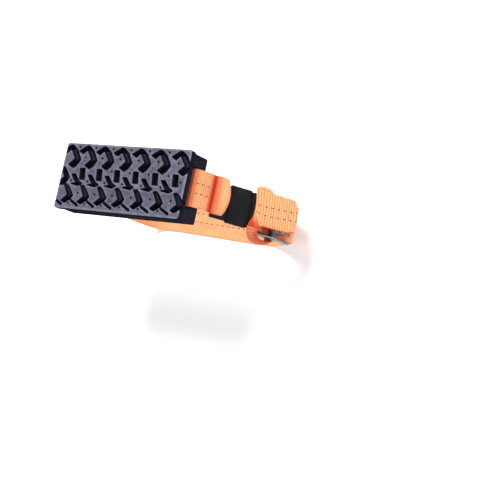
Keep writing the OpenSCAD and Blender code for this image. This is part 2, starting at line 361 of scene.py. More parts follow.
# black webbing with the same painted rib highlight and gap shade
BLACK_WEB = webbing_material("woven_black", rgb(18, 18, 22), rgb(10, 10, 13), rgb(6, 6, 8), 0.1)
CLOTH = cloth_material("black_sleeve_cloth", rgb(11, 11, 15), rgb(20, 20, 26))
STEEL = metal_material("zinc_plated_steel", rgb(142, 140, 144), rgb(90, 88, 94), 0.26, 0.46)
ZINC = metal_material("cast_zinc_alloy", rgb(140, 140, 146), rgb(96, 96, 103), 0.38, 0.55, 0.1)
SPRING = metal_material("spring_wire", rgb(128, 130, 138), rgb(84, 86, 94), 0.25, 0.4)
DARK_THREAD = thread_material("black_dash_thread", rgb(20, 18, 18), rgb(44, 40, 40))
BLACK_STITCH = thread_material("black_sewing_thread", rgb(44, 44, 50), rgb(76, 76, 84))
ORANGE_STITCH = thread_material("orange_sewing_thread", rgb(206, 82, 16), rgb(245, 132, 48))

# --- The rubber block ---

# Outlines in the XY plane, in millimetres. A chevron's point is at 0, 0 and its arms trail to -X.
CHEVRONS = 7
UPPER_ROW_Y, LOWER_ROW_Y = 22.0, -26.0
SLIT_ROW_Y, SLANTED_ROW_Y = -35.8, 21.2
HOOKED_CHEVRON = [
    (0, 0), (-4.6, -7.6), (-10.3, -11.5), (-19.2, -7.2), (-10.2, 1.2), (-19.6, 13.6),
    (-25.6, 7.9), (-33, 11.6), (-21, 19.2), (-16.7, 18.4), (-8.5, 12.4),
]
PLAIN_CHEVRON = [
    (0, 0), (-3.6, -5.2), (-12, -10.6), (-18.8, -8), (-10, 0), (-18.6, 13.4), (-13.4, 14.2),
    (-7.9, 9.8),
]
SLANTED_GROOVE = [(-25.2, -10.4), (-17.2, -10.4), (-14.2, -25.2), (-22.9, -24.9)]
BOOT_GROOVE = [
    (-10, -19.4), (-3.6, -19.4), (4, -27.8), (10.8, -31.6), (5.4, -34.6), (-8.1, -32.5),
    (0.4, -31), (-4.6, -26.4),
]
END_CHEVRON = [
    (-104, 12), (-97.5, 11), (-90, 3), (-86, -3), (-92, -12.4), (-104, -13.2), (-104, -10),
    (-95, -2), (-104, 10),
]
SLIT_L, SLIT_W, SLIT_TILT = 15.2, 2.2, math.radians(-27)
UPPER_LEDGE = [(-21.2, 12.2), (-16.6, 14.0), (-7.6, 1.6), (-11.4, -0.2)]
LOWER_LEDGE = [(-20.4, 12.6), (-15.8, 14.2), (-7.4, 1.0), (-11.2, -1.2)]
GROOVE_FLOOR, LEDGE_Z = 30.0, 34.0
TREAD_FROM = 37.05  # where the tread face's own rubber begins


def point_x(k):
    """Where the k-th chevron's point lies along X."""
    return -73.5 + 27.38 * k + 0.42 * k * k


def moved(shape, x, y):
    return [(px + x, py + y) for px, py in shape]


def tread_grooves():
    """Outlines of every groove, and of the ledges inside the chevrons."""
    grooves, ledges = [END_CHEVRON], []
    x, y = SLIT_L / 2, SLIT_W / 2
    c, s = heading(SLIT_TILT)
    slit = [(c * x - s * y, s * x + c * y) for x, y in ((-x, -y), (x, -y), (x, y), (-x, y))]
    for k in range(CHEVRONS):
        x = point_x(k)
        grooves += [moved(HOOKED_CHEVRON, x, UPPER_ROW_Y), moved(PLAIN_CHEVRON, x, LOWER_ROW_Y)]
        ledges += [moved(UPPER_LEDGE, x, UPPER_ROW_Y), moved(LOWER_LEDGE, x, LOWER_ROW_Y)]
        if k:
            grooves.append(moved(SLANTED_GROOVE, x, SLANTED_ROW_Y))
        if k < CHEVRONS - 1:
            grooves.append(moved(BOOT_GROOVE, x, UPPER_ROW_Y))
            grooves.append(moved(slit, x + 4.6, SLIT_ROW_Y))
    grooves.append(moved(slit, point_x(0) - 23.2, SLIT_ROW_Y))
    return grooves, ledges


def pin_holes():
    """Middles of the small round holes between the grooves."""
    holes = []
    for k in range(CHEVRONS - 1):
        x, after = point_x(k), point_x(k + 1)
        holes += [(x - 5.7, 38.7), (x - 5.7, -36.2), (x - 8.4, -6.5)]
        holes += [(after - 20.4, 25.6), (after - 20.6, -22.5)]
        if k >= 2:
            holes.append((x, 8.6))
    holes.append((point_x(CHEVRONS - 1) - 11.4, 1.6))
    return holes


def inside_distance(points, polygon):
    """Distance from each point to the polygon's outline, above 0 inside it."""
    a = np.array(polygon, float)
    b = np.roll(a, -1, axis=0)
    p = points[:, None, :]
    edge = b - a
    t = np.clip(((p - a) * edge).sum(-1) / (edge**2).sum(-1), 0, 1)
    away = np.sqrt((((p - a) - t[..., None] * edge) ** 2).sum(-1)).min(1)
    crosses = (a[:, 1] > p[..., 1]) != (b[:, 1] > p[..., 1])
    slope = np.where(edge[:, 1] == 0, 1e-9, edge[:, 1])
    at_x = (p[..., 1] - a[:, 1]) * edge[:, 0] / slope + a[:, 0]
    inside = ((p[..., 0] < at_x) & crosses).sum(1) % 2 == 1
    return np.where(inside, away, -away)


GRID_STEP = 0.5
GRID_X = np.arange(-106.0, 106.01, GRID_STEP)
GRID_Y = np.arange(-48.0, 48.01, GRID_STEP)
CELLS = np.stack(np.meshgrid(GRID_X, GRID_Y, indexing="ij"), axis=-1)


def distance_field(polygons):
    """Inside distance to the union of the polygons on the tread grid, corners softened."""
    field = np.full(CELLS.shape[:2], -6.0)
    reach = 7.0
    for polygon in polygons:
        low, high = np.min(polygon, axis=0) - reach, np.max(polygon, axis=0) + reach
        near = ((CELLS > low) & (CELLS < high)).all(-1)
        field[near] = np.maximum(field[near], inside_distance(CELLS[near], polygon))
    for _ in range(2):
        for axis in (0, 1):
            field = 0.5 * field + 0.25 * (np.roll(field, 1, axis) + np.roll(field, -1, axis))
    return field


def sample(field, points):
    """Bilinear value of a tread-grid field."""
    fx = np.clip((points[:, 0] - GRID_X[0]) / GRID_STEP, 0, len(GRID_X) - 1.001)
    fy = np.clip((points[:, 1] - GRID_Y[0]) / GRID_STEP, 0, len(GRID_Y) - 1.001)
    i, j = fx.astype(int), fy.astype(int)
    u, v = fx - i, fy - j
    near = field[i, j] * (1 - u) * (1 - v) + field[i + 1, j] * u * (1 - v)
    return near + field[i, j + 1] * (1 - u) * v + field[i + 1, j + 1] * u * v


def join(links, a, b):
    links.setdefault(a, []).append(b)
    links.setdefault(b, []).append(a)


def contour_lines(field, level):
    """Polylines along which a tread-grid field equals level."""
    above = field > level
    links, place = {}, {}
    mixed = above[:-1, :-1].astype(int) + above[1:, :-1] + above[:-1, 1:] + above[1:, 1:]
    for i, j in np.argwhere((mixed > 0) & (mixed < 4)):
        found = []
        for a, b, di, dj in ((i, j, 1, 0), (i + 1, j, 0, 1), (i, j + 1, 1, 0), (i, j, 0, 1)):
            if above[a, b] != above[a + di, b + dj]:
                t = (level - field[a, b]) / (field[a + di, b + dj] - field[a, b])
                at = np.array([a + di * t, b + dj * t])
                place[a, b, di] = (GRID_X[0], GRID_Y[0]) + at * GRID_STEP
                found.append((a, b, di))
        pairs = [found] if len(found) == 2 else [found[:2], found[2:]]
        for first, second in pairs:
            join(links, first, second)
    lines, used = [], set()
    for start in [k for k in links if len(links[k]) == 1] + list(links):
        if start in used:
            continue
        chain, at, before = [start], start, None
        used.add(start)
        while True:
            onward = [k for k in links[at] if k != before and k not in used]
            if not onward:
                break
            before, at = at, onward[0]
            used.add(at)
            chain.append(at)
        closed = len(chain) > 2 and start in links[at]
        lines.append((np.array([place[k] for k in chain]), closed))
    return lines


def thinned(line, tolerance):
    """A polyline without the points that lie closer than tolerance to their neighbours' chord."""
    keep = np.zeros(len(line), bool)
    keep[[0, -1]] = True
    stack = [(0, len(line) - 1)]
    while stack:
        a, b = stack.pop()
        if b - a < 2:
            continue
        chord = line[b] - line[a]
        length = np.hypot(*chord)
        rest = line[a + 1 : b] - line[a]
        if length < 1e-9:
            off = np.hypot(rest[:, 0], rest[:, 1])
        else:
            off = np.abs(rest[:, 0] * chord[1] - rest[:, 1] * chord[0]) / length
        far = int(off.argmax())
        if off[far] > tolerance or length > 6.0:
            middle = a + 1 + (far if off[far] > tolerance else (b - a) // 2 - 1)
            keep[middle] = True
            stack += [(a, middle), (middle, b)]
    return line[keep]


# Rounding of the cap's corners; heights against the distance inside a groove, and drops of the
# face against the distance inside the cap's outline; radius and height of a pin hole's rings.
CORNER_R = 3.6
RIM_LEVELS = (-1.3, -1.0, -0.75, -0.32, 0.0, 0.5)
RIM_Z = (38.0, 37.92, 37.55, 31.2, 30.4, GROOVE_FLOOR)
EDGE_LEVELS = (0.0, 0.16, 0.5, 1.1)
EDGE_DROP = (1.0, 0.55, 0.16, 0.0)
HOLE_RINGS = ((1.75, 38.0), (1.55, 37.86), (1.4, 37.3), (1.25, 35.4), (0.8, 35.0))
LEDGE_LEVELS = (-0.25, 0.15)
END_WALL, END_WALL_X = 2.6, -90  # the grooves stop short of the left end
FILL_STEP, HOLE_ROOM, RIM_ROOM = 5.0, 2.6, 1.8  # loose points, clear of the holes and the rims
LEDGE_TOP = 37.0
CAP_Z = BLOCK_H - CAP_H
SEAT_RINGS = (  # the rings below the tread face: distance inward and height
    (0.0, CAP_Z + 0.9), (0.12, CAP_Z + 0.45), (0.5, CAP_Z + 0.12), (1.0, CAP_Z),
    (CAP_LIP, CAP_Z - 0.1), (CAP_LIP + 0.1, CAP_Z - 0.5), (CAP_LIP + 0.1, 1.4),
    (CAP_LIP + 0.3, 0.6), (CAP_LIP + 0.8, 0.15), (CAP_LIP + 1.5, 0.0),
)


def outline_distance(points):
    """Distance inside the cap's rounded outline, below 0 outside it."""
    half = np.array([BLOCK_L / 2, BLOCK_W / 2])
    q = np.abs(points) - (half - CORNER_R)
    outside = np.hypot(*np.moveaxis(np.maximum(q, 0), -1, 0))
    return CORNER_R - (outside + np.minimum(q.max(-1), 0))


def outline(inset):
    """The cap's rounded outline, moved inward."""
    points = []
    for quarter, signs in enumerate(((1, 1), (-1, 1), (-1, -1), (1, -1))):
        centre = signs * np.array([BLOCK_L / 2 - CORNER_R, BLOCK_W / 2 - CORNER_R])
        for i in range(9):
            points.append(centre + (CORNER_R - inset) * heading(math.pi / 2 * (quarter + i / 8)))
    return np.array(points)


def border_loop(faces):
    """The vertices along the one open border of a sheet of faces, in order."""
    count = {}
    for f in faces:
        for edge in zip(f, (*f[1:], f[0])):
            key = tuple(sorted(edge))
            count[key] = count.get(key, 0) + 1
    border = {}
    for (a, b), n in count.items():
        if n == 1:
            join(border, a, b)
    loop = [next(iter(border))]
    while True:
        ahead = [b for b in border[loop[-1]] if len(loop) < 2 or b != loop[-2]]
        if ahead[0] == loop[0]:
            return loop
        loop.append(ahead[0])


def build_block():
    """Tread face from a triangulation of nested groove contours, then rings down to the seat."""
    grooves, ledge_shapes = tread_grooves()
    groove = distance_field(grooves)
    end_wall = outline_distance(CELLS) - END_WALL
    groove = np.where(CELLS[..., 0] < END_WALL_X, np.minimum(groove, end_wall), groove)
    ledge = distance_field(ledge_shapes)
    holes = pin_holes()

    points, edges = [], []

    def add_line(line, closed):
        start = len(points)
        points.extend(map(Vector, line.tolist()))
        edges.extend((start + i, start + i + 1) for i in range(len(line) - 1))
        if closed:
            edges.append((start + len(line) - 1, start))

    for level in EDGE_LEVELS:
        add_line(outline(level), True)
    for level in RIM_LEVELS:
        for line, closed in contour_lines(groove, level):
            if len(line) > 3:
                add_line(thinned(line, 0.03), closed)
    for level in LEDGE_LEVELS:
        for line, closed in contour_lines(ledge, level):
            line = thinned(line, 0.04)
            if (sample(groove, line) > -1.5).any():
                add_line(line, closed)
    for hx, hy in holes:
        for radius, _ in HOLE_RINGS:
            turn = np.arange(12) * math.pi / 6
            add_line(np.stack([hx + radius * np.cos(turn), hy + radius * np.sin(turn)], axis=1), True)
    for x in np.arange(-98.0, 99.0, FILL_STEP):
        for y in np.arange(-40.0, 41.0, FILL_STEP):
            off_rim = abs(sample(groove, np.array([[x, y]]))[0] + 0.4) > RIM_ROOM
            if off_rim and all(math.hypot(x - a, y - b) > HOLE_ROOM for a, b in holes):
                points.append(Vector((float(x), float(y))))

    flat, _, faces, *_ = delaunay_2d_cdt(points, edges, [], 0, 1e-4)
    flat = np.array([tuple(p) for p in flat])
    centre = flat[np.array(faces)].mean(1)
    faces = [f for f, e in zip(faces, outline_distance(centre)) if e > 0]

    depth = sample(groove, flat)
    z = np.interp(depth, RIM_LEVELS, RIM_Z)
    step = sample(ledge, flat)
    shelf = np.maximum(z, np.interp(step, LEDGE_LEVELS, (GROOVE_FLOOR, LEDGE_Z)))
    z = np.where(depth > RIM_LEVELS[2], np.maximum(z, np.minimum(shelf, LEDGE_TOP)), z)
    hole_r, hole_z = zip(*HOLE_RINGS[::-1])
    for hx, hy in holes:
        r = np.hypot(flat[:, 0] - hx, flat[:, 1] - hy)
        near = r < HOLE_RINGS[0][0] + 0.05
        z[near] = np.interp(r[near], hole_r, hole_z)
    margin = outline_distance(flat)
    z = np.minimum(z, BLOCK_H - np.interp(margin, EDGE_LEVELS, EDGE_DROP))
    # wear at the groove rims, and a painted highlight along the tread face's outer edge
    rim_wear_and_highlight = np.exp(-(((depth - RIM_LEVELS[1]) / 0.5) ** 2)) + 1.5 * np.exp(-((margin / 1.5) ** 2))
    # a painted highlight along the edges of the ledges inside the chevrons
    ledge_highlight = np.exp(-(((step - 0.1) / 0.3) ** 2)) * (z < 36) * (z > 30.5)

    used = sorted({i for f in faces for i in f})
    number = {old: new for new, old in enumerate(used)}
    vertices = [(*flat[i], z[i]) for i in used]
    rims, steps = rim_wear_and_highlight[used].tolist(), ledge_highlight[used].tolist()
    sides = [0.0] * len(used)
    edge_loop = [number[i] for i in border_loop(faces)]
    faces = [tuple(number[i] for i in f) for f in faces]
    on_edge = np.array([vertices[i] for i in edge_loop])
    half = np.array([BLOCK_L / 2 - CORNER_R, BLOCK_W / 2 - CORNER_R])
    inner = np.clip(on_edge[:, :2], -half, half)
    normal = unit(on_edge[:, :2] - inner)
    before = edge_loop
    for inset, height in SEAT_RINGS:
        start = len(vertices)
        ring = on_edge[:, :2] - normal * inset
        vertices += [(x, y, min(height, e)) for (x, y), e in zip(ring, on_edge[:, 2])]
        # the cap's upper edge keeps part of the painted edge highlight
        rims += [0.5 if height > CAP_Z else 0.0] * len(ring)
        steps += [0.0] * len(ring)
        sides += [1.0] * len(ring)
        now = list(range(start, start + len(ring)))
        faces += zip(before, before[1:] + before[:1], now[1:] + now[:1], now)
        before = now
    faces.append(tuple(before))
    marks = {"rim_wear_and_highlight": rims, "step": steps, "side": sides}
    obj = new_object("tread_block", vertices, faces, attributes=marks)
    outward(obj)
    return obj


def tunnel_cutter():
    """A flat tunnel with rounded sides, whose mouths flare out."""
    end = BLOCK_L / 2 - CAP_LIP - 0.1
    stations = [(-end - 2, 1.3), (-end - 0.01, 1.0), (-end + 0.35, 0.35), (-end + 1.0, 0.0)]
    stations += [(-x, grow) for x, grow in stations[::-1]]
    r = TUNNEL_H / 2 - 0.01
    vertices = []
    n = 8
    for x, grow in stations:
        for side in (1, -1):
            centre = np.array([side * (TUNNEL_W / 2 - r), TUNNEL_Z])
            for i in range(n + 1):
                y, z = centre + side * (r + grow) * heading(math.pi * i / n - math.pi / 2)
                vertices.append((x, y, z))
    obj = new_object("tunnel_cutter", vertices, tube_faces(0, len(stations), 2 * (n + 1)))
    outward(obj)
    return obj


def cut(obj, cutter):
    """obj with cutter's room taken out, as a plain mesh."""
    modifier = obj.modifiers.new("cut", "BOOLEAN")
    modifier.operation, modifier.object, modifier.solver = "DIFFERENCE", cutter, "MANIFOLD"
    bpy.context.view_layer.update()
    done = bpy.data.meshes.new_from_object(obj.evaluated_get(bpy.context.evaluated_depsgraph_get()))
    obj.modifiers.clear()
    obj.data = done
    bpy.data.objects.remove(cutter)


block = build_block()
cut(block, tunnel_cutter())
dress(block, "strapped_block", TREAD_RUBBER, ["traction_block"], 38)
block.data.materials.append(BODY_RUBBER)
for face in block.data.polygons:
    face.material_index = 0 if face.center.z > TREAD_FROM * MM and face.normal.z > 0.5 else 1

# --- Webbing ---


def rounded(route):
    """Points in the XZ plane along a route of (x, z, corner radius), with its corners rounded."""
    line = [np.array(route[0][:2], float)]
    for a, b, c in zip(route, route[1:], route[2:]):
        before, corner, after = (np.array(p[:2], float) for p in (a, b, c))
        r = b[2]
        to_a, to_c = unit(before - corner), unit(after - corner)
        half = math.acos(float(np.clip(to_a @ to_c, -1, 1))) / 2
        centre = corner + unit(to_a + to_c) * r / math.sin(half)
        first = corner + to_a * r / math.tan(half) - centre
        turn_left = to_a[0] * to_c[1] - to_a[1] * to_c[0] > 0
        sweep = (math.pi - 2 * half) * (-1 if turn_left else 1)
        start = math.atan2(first[1], first[0])
        steps = max(5, int(abs(sweep) * r / 0.4))
        line += [centre + r * heading(start + sweep * i / steps) for i in range(steps + 1)]
    line.append(np.array(route[-1][:2], float))
    return np.array(line)


def resampled(line, step):
    """The polyline's points at equal steps, and how far along it each lies."""
    lengths = np.r_[0, np.cumsum(np.linalg.norm(np.diff(line, axis=0), axis=1))]
    at = np.linspace(0, lengths[-1], int(lengths[-1] / step) + 1)
    return np.stack([np.interp(at, lengths, line[:, i]) for i in range(line.shape[1])], axis=1), at


SELVEDGE = np.array([0.0, 0.012, 0.035, 0.08])
ROW_STEP = 0.58


def columns(inner):
    """Places across the webbing from -1 to 1, close together at the selvedges."""
    middle = np.linspace(-1 + 0.16, 1 - 0.16, inner)
    return np.r_[-1 + SELVEDGE, middle, (1 - SELVEDGE)[::-1]]


def flat_web(line, width, inner, middle=0.0):
    """Mid-surface of webbing along a line in the XZ plane: points, places along, places across."""
    line, along = resampled(line, ROW_STEP)
    across = columns(inner)
    grid = np.zeros((len(line), len(across), 3))
    grid[..., 0], grid[..., 2] = line[:, None, 0], line[:, None, 1]
    grid[..., 1] = middle + across * width / 2
    return grid, along, across


def there_and_back(a, b):
    """Rows of a followed by the rows of b turned round, for the two faces of the webbing."""
    return np.concatenate([a, b[:, ::-1]], axis=1)


def web_object(name, grid, along, across, relief=0.30, calm=0.0, fold=0.0, front=1.0):
    """A closed strip of webbing with rounded selvedges and ribs across it.

    calm flattens the ribs and fold mixes in painted shade, both from 0 to 1 over the grid;
    front is fold's share on the face that the grid's normals leave.
    """
    rows, cols = grid.shape[:2]
    calm = np.broadcast_to(calm, (rows, cols))
    fold = np.broadcast_to(fold, (rows, cols))
    normal = unit(np.cross(*np.gradient(grid, axis=(0, 1))))
    edge = np.clip((1 - np.abs(across)) / 0.08, 0, 1)
    round_edge = np.sqrt(np.clip(1 - (1 - edge) ** 2, 0.02, 1)) * 0.72 + 0.28 * (edge > 0)
    ribs = np.clip((0.5 + 0.5 * np.sin(2 * math.pi * along / RIB_PITCH)) * 1.5, 0, 1) ** 0.8
    ribs = ribs[:, None] * smooth(0.0, 0.1, 1 - np.abs(across))[None, :]
    ribs = ribs * (1 - calm) + 0.75 * calm
    half = WEB_T / 2 * ((1 - relief) + relief * ribs) * round_edge[None, :]
    half = half[..., None]
    vertices = there_and_back(grid + normal * half, grid - normal * half).reshape(-1, 3)
    size = 2 * cols
    faces = []
    for i in range(rows - 1):
        faces += band(i * size, (i + 1) * size, size)
    for start in (0, (rows - 1) * size):
        end = start + size - 1
        faces += [(start + j, start + j + 1, end - 1 - j, end - j) for j in range(cols - 1)]
    side = across * WEB_W / 2
    uv = np.zeros((rows, size, 2))
    uv[..., 0] = along[:, None]
    uv[..., 1] = np.r_[side, side[::-1]]
    # fold carries the painted shade
    marks = {"calm": there_and_back(calm, calm), "fold": there_and_back(fold * front, fold)}
    return new_object(name, vertices, faces, uv.reshape(-1, 2) * MM, marks)


def on_web(grid, along, across, u, v):
    """Point and normal on the mid-surface at u millimetres along it and v across it."""
    i = float(np.interp(u, along, np.arange(len(along))))
    j = float(np.interp(v, across, np.arange(len(across))))
    a, b = int(min(i, len(along) - 2)), int(min(j, len(across) - 2))
    s, t = i - a, j - b
    corner = grid[a : a + 2, b : b + 2]
    first, second = ((1 - t) * corner[k, 0] + t * corner[k, 1] for k in (0, 1))
    point = (1 - s) * first + s * second
    normal = unit(np.cross(corner[1, 0] - corner[0, 0], corner[0, 1] - corner[0, 0]))
    return point, normal


def thread_bars(paths, radius, flatten):
    """Short threads with tapered ends; each path is a list of (point, normal)."""
    vertices, faces = [], []
    around = 8
    for path in paths:
        pts = np.array([p for p, _ in path])
        tangent = np.gradient(pts, axis=0)
        start = len(vertices)
        last = len(path) - 1
        for i, (point, normal) in enumerate(path):
            t = unit(tangent[i])
            side = unit(np.cross(t, normal))
            up = np.cross(side, t)
            end = min(i, last - i) / last * 2
            r = radius * (0.35 + 0.65 * math.sqrt(min(1, end * 3)))
            for k in range(around):
                a = 2 * math.pi * k / around
                vertices.append(point + side * r * math.cos(a) + up * r * flatten * math.sin(a))
        faces += tube_faces(start, len(path), around)
    return vertices, faces


DASH_PITCH, DASH_L, DASH_V = 9.1, 4.4, 0.26


def dash_paths(grid, along, across, first, last, lift, skip=(0, 0)):
    """The two rows of dark dashes woven along the webbing, on the face the normals leave."""
    paths = []
    for start in np.arange(first, last, DASH_PITCH):
        if skip[0] < start < skip[1]:
            continue
        for v in (-DASH_V, DASH_V):
            path = []
            for u in np.linspace(start, start + DASH_L, 7):
                point, normal = on_web(grid, along, across, u, v)
                path.append((point + normal * lift, normal * np.sign(lift)))
            paths.append(path)
    return paths


def run_point(s, h, r=0.0):
    """A route point (x, z, corner radius) from a place in the run's own frame."""
    world = from_run([s, 0, h])
    return (world[0], world[2], r)


# From the hem's end, round the hem, through the block, down its far end, along the wheel and up
# into the buckle.
LONG_ROUTE = [
    run_point(1, -2.05), run_point(21.4, -2.05, 2.4), run_point(21.4, 4.6, 2.6),
    run_point(9.5, 4.9, 6), run_point(1.5, 0, 4), (103.7, 23, 3), (-105.5, 23, 4), (-92, -62, 60),
    (-84, -160, 24), (118, -160, 20), run_point(127.5, -6, 8), run_point(86, -6),
]
# How far painted shade deepens the orange along the run near the hem, and elsewhere.
HEM_SHADE_S = (-34, -30.5, -28, -22, -9.5, -7, -5.5, -3.2, -1, 0.8, 2.2, 3.6, 6.5, 9, 12, 20)
HEM_SHADE = (
    0.7, 0.5, 0.22, 0.12, 0.2, 0.48, 0.75, 0.97, 1.0, 0.97, 0.78, 0.64, 0.52, 0.22, 0.05, 0.16,
)
# PLAIN_TONE deepens the orange evenly; the others are painted shade under the hem's end and inside the
# buckle.
PLAIN_TONE, HEM_UNDER_SHADE, BUCKLE_SHADE = 0.12, 0.3, 0.6
grid, along, across = flat_web(rounded(LONG_ROUTE), WEB_W, 13)
bottom = along[grid[:, 0, 2] < -158]
drift = BUCKLE_Y * np.interp(along, (bottom[0] + 34, bottom[-1] - 33), (0, 1))
local = to_run(grid)
s, y, h = local[..., 0], local[..., 1], local[..., 2]  # views, which follow each change to local
near_hem = (along < 120)[:, None] & (s > -60)
in_hem = near_hem & (s > 2.5) & (along < 62)[:, None]
side = (y / 24) ** 2
on_top = smooth(-1.0, 3.0, h)
local[..., 0] = np.where(in_hem, 2.5 + (s - 2.5) * (1 - 0.31 * side * smooth(3, 14, s)), s)
crown = (0.7 - 2.6 * side) * smooth(2, 9, s) * on_top
valley = -1.5 * np.exp(-(((s + 1.2) / 2.2) ** 2)) - 0.5 * side * np.exp(-(((s + 1) / 7) ** 2))
bulge = np.where(in_hem, crown, np.where(along[:, None] > 30, valley, 0))
local[..., 2] = h + np.where(near_hem, bulge, 0)
local[..., 1] = y + np.where(near_hem, 1.6 * smooth(-40, -10, s), 0)
grid = np.where(near_hem[..., None], from_run(local), grid)
grid[..., 1] += drift[:, None]
# Painted shade on the long webbing: the crease, the hem's rise, the strap where it leaves the block,
# the hem's under layer and the strap in the buckle.
tone_and_shade = np.interp(s, HEM_SHADE_S, HEM_SHADE)
shade_in_buckle = smooth(122, 110, s) * smooth(72, 78, s) * smooth(4, 2, abs(h + 6))
elsewhere = PLAIN_TONE + BUCKLE_SHADE * shade_in_buckle
tone_and_shade = np.where(near_hem, np.where((along < 28)[:, None], HEM_UNDER_SHADE, tone_and_shade), elsewhere)
calm = np.where(near_hem, 0.5 + 0.2 * smooth(-6, 3, s), 0.35)
long_web = web_object("orange_webbing_loop", grid, along, across, calm=calm, fold=tone_and_shade, front=0.3)
dress(long_web, "strapped_block", ORANGE, ["long_strap"], 60)
long_web_at = grid, along, across

# --- The tail: laid back over the buckle, askew, so its lower edge bulges past the frame ---

# The tail's guide lines across the run, at TAIL_V across the webbing, as points (s, y, h).
TAIL_V = (1.0, 0.0, -0.6, -1.0)
TAIL_ROWS = [
    ((86, 18.8, -6), (86, -5, -6), (86, -19, -6), (86, -28.8, -6)),
    ((81, 18.8, -6), (81, -5, -6), (81, -19, -6), (81, -28.8, -6)),
    ((76.5, 18.8, -2), (76.5, -5, -2), (76.5, -19, -2), (76.5, -28.8, -2)),
    ((78.5, 18.8, 3.4), (72.5, -4, 1.8), (72.5, -18, 1.7), (72.5, -28.2, 1.5)),
    ((78.0, 25.0, 6.7), (68, -2.5, 2.5), (68, -16.5, 2.1), (67, -27.2, 2.1)),
    ((71.5, 27.7, 7.0), (64, -1.5, 2.8), (63, -15, 2.2), (60, -25.8, 2.2)),
    ((63.5, 28.0, 6.9), (61, -1.2, 3.4), (60, -14.4, 2.6), (56, -25.0, 2.3)),
    ((58.0, 27.4, 6.7), (59.6, -1.2, 4.4), (58.8, -14, 3.3), (54.0, -24.5, 2.9)),
    ((55.6, 25.8, 6.8), (59.1, -1.5, 5.6), (58.5, -13.4, 4.4), (53.9, -24.5, 3.7)),
    ((54.9, 24.8, 7.2), (59.0, -1.8, 6.8), (58.7, -12.9, 5.7), (56.2, -24.9, 4.6)),
    ((54.6, 24.2, 7.9), (59.1, -2.2, 7.9), (58.9, -12.4, 7.2), (60.6, -25.0, 5.6)),
    ((55.0, 23.8, 8.6), (59.6, -2.6, 9.0), (59.3, -11.8, 8.8), (65.2, -24.6, 7.0)),
    ((57, 23.5, 9.0), (61.2, -3.0, 9.8), (60.8, -12.2, 10.2), (68.6, -23.8, 8.6)),
    ((61, 23.2, 9.1), (65, -3.7, 10.1), (64.8, -13.4, 10.7), (71.6, -23.2, 9.8)),
    ((68, 22.9, 9.2), (71, -3.5, 10.2), (71.5, -14.4, 10.3), (76, -22.9, 9.7)),
    ((80, 22.5, 9.2), (82, -2.7, 10.3), (83, -14.2, 10.0), (85.5, -22.8, 9.2)),
    ((94, 22.2, 9.1), (96, -1.3, 10.2), (97.4, -13.4, 9.8), (98.4, -22.6, 9.1)),
    ((106, 21.9, 9.1), (109, 0.0, 9.9), (110, -12, 9.6), (110.6, -21.6, 9.1)),
    ((111, 21.5, 8.6), (116.6, 1.2, 9.2), (116.6, -11.5, 9.1), (115.4, -19.4, 8.8)),
    ((111.6, 21.3, 7.6), (118.2, 1.4, 7.7), (118, -11.5, 7.7), (116.6, -19, 7.7)),
    ((110.2, 21.0, 6.6), (116.4, 1.0, 6.4), (116.2, -12, 6.4), (114.8, -20, 6.6)),
    ((100, 19, 6.3), (100, -3, 6.3), (100, -15, 6.3), (100, -24, 6.3)),
]


def spline(keys, at, where):
    """Smooth values through keys at places at, read at where: a cubic with finite-difference slopes."""
    keys = np.asarray(keys, float)
    slope = np.gradient(keys, at, axis=0)
    i = np.clip(np.searchsorted(at, where, side="right") - 1, 0, len(at) - 2)
    gap = at[i + 1] - at[i]
    t = ((where - at[i]) / gap).reshape(-1, *([1] * (keys.ndim - 1)))
    gap = gap.reshape(t.shape)
    a, b, c, d = keys[i], keys[i + 1], slope[i] * gap, slope[i + 1] * gap
    near = (2 * t**3 - 3 * t**2 + 1) * a + (t**3 - 2 * t**2 + t) * c
    return near + (3 * t**2 - 2 * t**3) * b + (t**3 - t**2) * d


def tail_web():
    """Mid-surface of the tail, through its guide lines."""
    rows = np.array(TAIL_ROWS, float)
    middle = rows[:, 1]
    gaps = np.linalg.norm(np.diff(middle, axis=0), axis=1)
    edge_gaps = np.linalg.norm(np.diff(rows[:, 3], axis=0), axis=1)
    at = np.r_[0, np.cumsum(np.maximum(gaps, 0.22 * edge_gaps))]
    count = int(at[-1] / (ROW_STEP * 0.9))
    where = np.linspace(0, at[-1], count)
    guides = spline(rows, at, where)
    across = columns(17)
    order = np.argsort(TAIL_V)
    v_keys = np.array(TAIL_V)[order]
    grid = np.stack([spline(g[order], v_keys, across) for g in guides])
    return from_run(grid), where, across


grid, along, across = tail_web()
s, y, h = np.moveaxis(to_run(grid), -1, 0)
# Painted shade on the tail: its layer under the panel, the hollow at its lower left, the panel's lower
# edge and the part lying low in the buckle.
under = smooth(9.4, 5.0, h) * smooth(22, 12, y)
hollow_shade = smooth(-6, -20, y) * smooth(74, 66, s) * smooth(10.4, 8.6, h)
lower_edge_shade = smooth(-0.9, -0.985, across)[None, :] * smooth(66, 72, s) * smooth(7.4, 8.6, h)
buried_shade = smooth(4.5, 0.5, h) * smooth(70, 76, s)
tone_and_shade = np.clip(0.45 * under + 0.4 * buried_shade + 0.5 * hollow_shade + 0.95 * lower_edge_shade, 0, 1)
calm = 0.85 * smooth(22.5, 25, y) * smooth(80, 72, s)
tail = web_object("orange_webbing_tail", grid, along, across, calm=calm, fold=tone_and_shade)
dress(tail, "strapped_block", ORANGE, ["strap_tail"], 60)
tail_web_at = grid, along, across

# --- The slack of the tail: a lengthwise fold that curls round the buckle's lower ear ---

